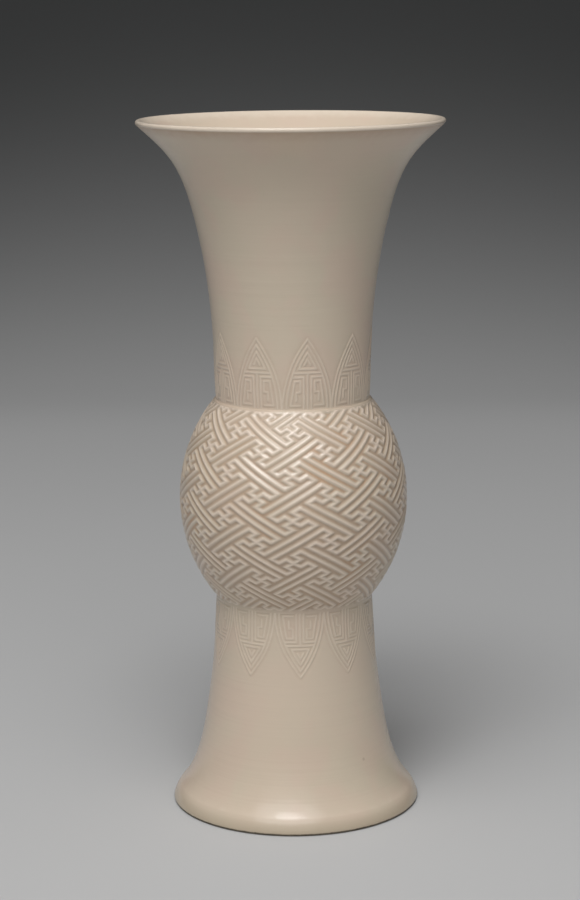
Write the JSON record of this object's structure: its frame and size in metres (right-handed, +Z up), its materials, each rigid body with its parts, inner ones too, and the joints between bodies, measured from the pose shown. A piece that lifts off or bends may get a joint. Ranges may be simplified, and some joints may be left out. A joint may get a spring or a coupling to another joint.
{
  "type": "gu-shaped vase",
  "caption": "Tall glazed porcelain vase in the gu shape, with a trumpet mouth, a carved fret bulb, leaf bands and a spreading foot; holds water and cut stems.",
  "frame": {"origin": "centre of the foot ring on the standing plane", "axes": "+Z up along the vase's axis, -Y towards the side that the picture shows, +X to the right in the picture"},
  "size_m": [0.1182, 0.1182, 0.27],
  "materials": {
    "glaze": "gloss",
    "carved_glaze": "gloss",
    "slip": "satin"
  },
  "bodies": {
    "root": {"neck": "glaze", "neck_lute": "slip", "bulb": "carved_glaze", "fret_band": "carved_glaze", "foot_lute": "slip", "foot": "glaze", "base_lute": "slip", "base": "glaze"}
  },
  "joints": []
}
